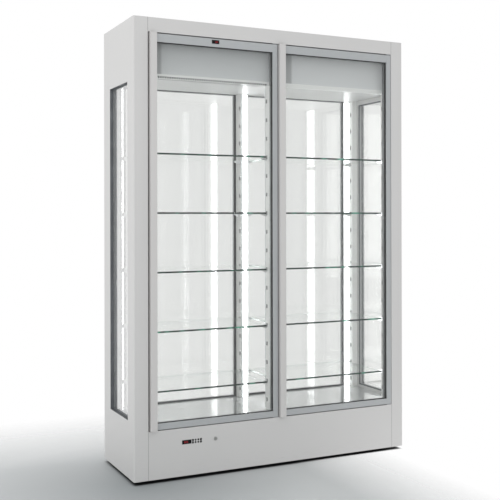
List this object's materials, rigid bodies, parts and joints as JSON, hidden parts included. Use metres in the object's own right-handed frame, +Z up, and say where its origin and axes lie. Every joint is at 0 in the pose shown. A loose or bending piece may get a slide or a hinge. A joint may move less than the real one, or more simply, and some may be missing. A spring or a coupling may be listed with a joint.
{
  "type": "refrigerated glass display showcase",
  "caption": "Tall free-standing glass display showcase with hinged full-height doors, glass sides and back, lit shelves, a cooling header and a base with a controller.",
  "frame": {"origin": "on the floor under the middle of the showcase, door grips included", "axes": "+X to the right as the doors are faced, +Y from the doors to the back, +Z up"},
  "size_m": [1.394, 0.451, 2.015],
  "materials": {
    "painted_case": "powder coated, light warm grey",
    "painted_upright": "gloss paint, light grey",
    "galvanised_sheet": "galvanised",
    "glass": "clear",
    "shelf_glass": "clear, polished edges",
    "seal": "matt black",
    "spacer": "black",
    "anodised": "satin anodised",
    "diffuser": "opal",
    "coil": "bare fins",
    "copper_tube": "drawn copper",
    "black_plastic": "black",
    "compressor_shell": "black enamel",
    "steel": "zinc plated"
  },
  "bodies": {
    "case": {"base_tray": "galvanised_sheet", "base_front_panel": "painted_case", "top_front_panel": "painted_case", "roof_panel": "painted_case", "left_side_panel": "painted_case", "right_side_panel": "painted_case", "front_left_post": "painted_case", "front_right_post": "painted_case", "center_mullion": "painted_upright", "rear_left_post": "painted_upright", "rear_center_post": "painted_upright", "rear_right_post": "painted_upright", "rear_glazing_rails": "painted_upright", "rear_lower_panel": "painted_case", "left_window_glass": "glass", "right_window_glass": "glass", "glazing_seals": "seal", "rear_left_glass": "glass", "rear_right_glass": "glass", "interior_floor": "painted_upright", "ceiling_panels": "painted_upright", "header_fascias": "painted_upright", "evaporator_coil": "coil", "evaporator_tray": "galvanised_sheet", "led_driver": "galvanised_sheet", "compressor": "compressor_shell", "condenser_coil": "coil", "fan_shroud": "galvanised_sheet", "refrigerant_pipes": "copper_tube", "controller": "black_plastic", "hinge_brackets": "steel", "left_shelves": "shelf_glass", "right_shelves": "shelf_glass", "shelf_brackets": "steel", "led_channels": "anodised", "led_diffusers": "diffuser", "levelling_feet": "steel", "cable_gland": "black_plastic", "cover_screws": "steel"},
    "left_door": {"left_door_grip": "painted_case", "left_door_frame": "anodised", "left_door_glass": "glass", "left_door_spacer": "spacer", "left_door_seal": "seal", "left_door_pins": "steel", "door_thermometer": "black_plastic"},
    "right_door": {"right_door_grip": "painted_case", "right_door_frame": "anodised", "right_door_glass": "glass", "right_door_spacer": "spacer", "right_door_seal": "seal", "right_door_pins": "steel"},
    "key_1": {"controller_key_1": "black_plastic"},
    "key_2": {"controller_key_2": "black_plastic"},
    "key_3": {"controller_key_3": "black_plastic"},
    "key_4": {"controller_key_4": "black_plastic"},
    "switch": {"key_switch": "steel"},
    "fan_left": {"evaporator_fan_left": "black_plastic"},
    "fan_right": {"evaporator_fan_right": "black_plastic"},
    "fan_condenser": {"condenser_fan": "black_plastic"}
  },
  "joints": [
    {"name": "left_door_hinge", "type": "hinge", "parent": "case", "child": "left_door", "pos_m": [-0.012, -0.2025, 1.088], "axis": [0, 0, 1], "range_deg": [0, 95]},
    {"name": "right_door_hinge", "type": "hinge", "parent": "case", "child": "right_door", "pos_m": [0.618, -0.2025, 1.088], "axis": [0, 0, 1], "range_deg": [0, 95]},
    {"name": "key_1_press", "type": "slide", "parent": "case", "child": "key_1", "axis": [0, 1, 0], "range_m": [0, 0.001], "stiffness_N_per_m": 400},
    {"name": "key_2_press", "type": "slide", "parent": "case", "child": "key_2", "axis": [0, 1, 0], "range_m": [0, 0.001], "stiffness_N_per_m": 400},
    {"name": "key_3_press", "type": "slide", "parent": "case", "child": "key_3", "axis": [0, 1, 0], "range_m": [0, 0.001], "stiffness_N_per_m": 400},
    {"name": "key_4_press", "type": "slide", "parent": "case", "child": "key_4", "axis": [0, 1, 0], "range_m": [0, 0.001], "stiffness_N_per_m": 400},
    {"name": "key_switch_turn", "type": "hinge", "parent": "case", "child": "switch", "pos_m": [-0.317, -0.2095, 0.163], "axis": [0, 1, 0], "range_deg": [0, 90]},
    {"name": "evaporator_fan_left_spin", "type": "hinge", "parent": "case", "child": "fan_left", "pos_m": [-0.46, -0.0435, 1.847], "axis": [0, 1, 0], "continuous": true},
    {"name": "evaporator_fan_right_spin", "type": "hinge", "parent": "case", "child": "fan_right", "pos_m": [-0.2, -0.0435, 1.847], "axis": [0, 1, 0], "continuous": true},
    {"name": "condenser_fan_spin", "type": "hinge", "parent": "case", "child": "fan_condenser", "pos_m": [0.133, 0.0205, 0.117], "axis": [1, 0, 0], "continuous": true}
  ]
}
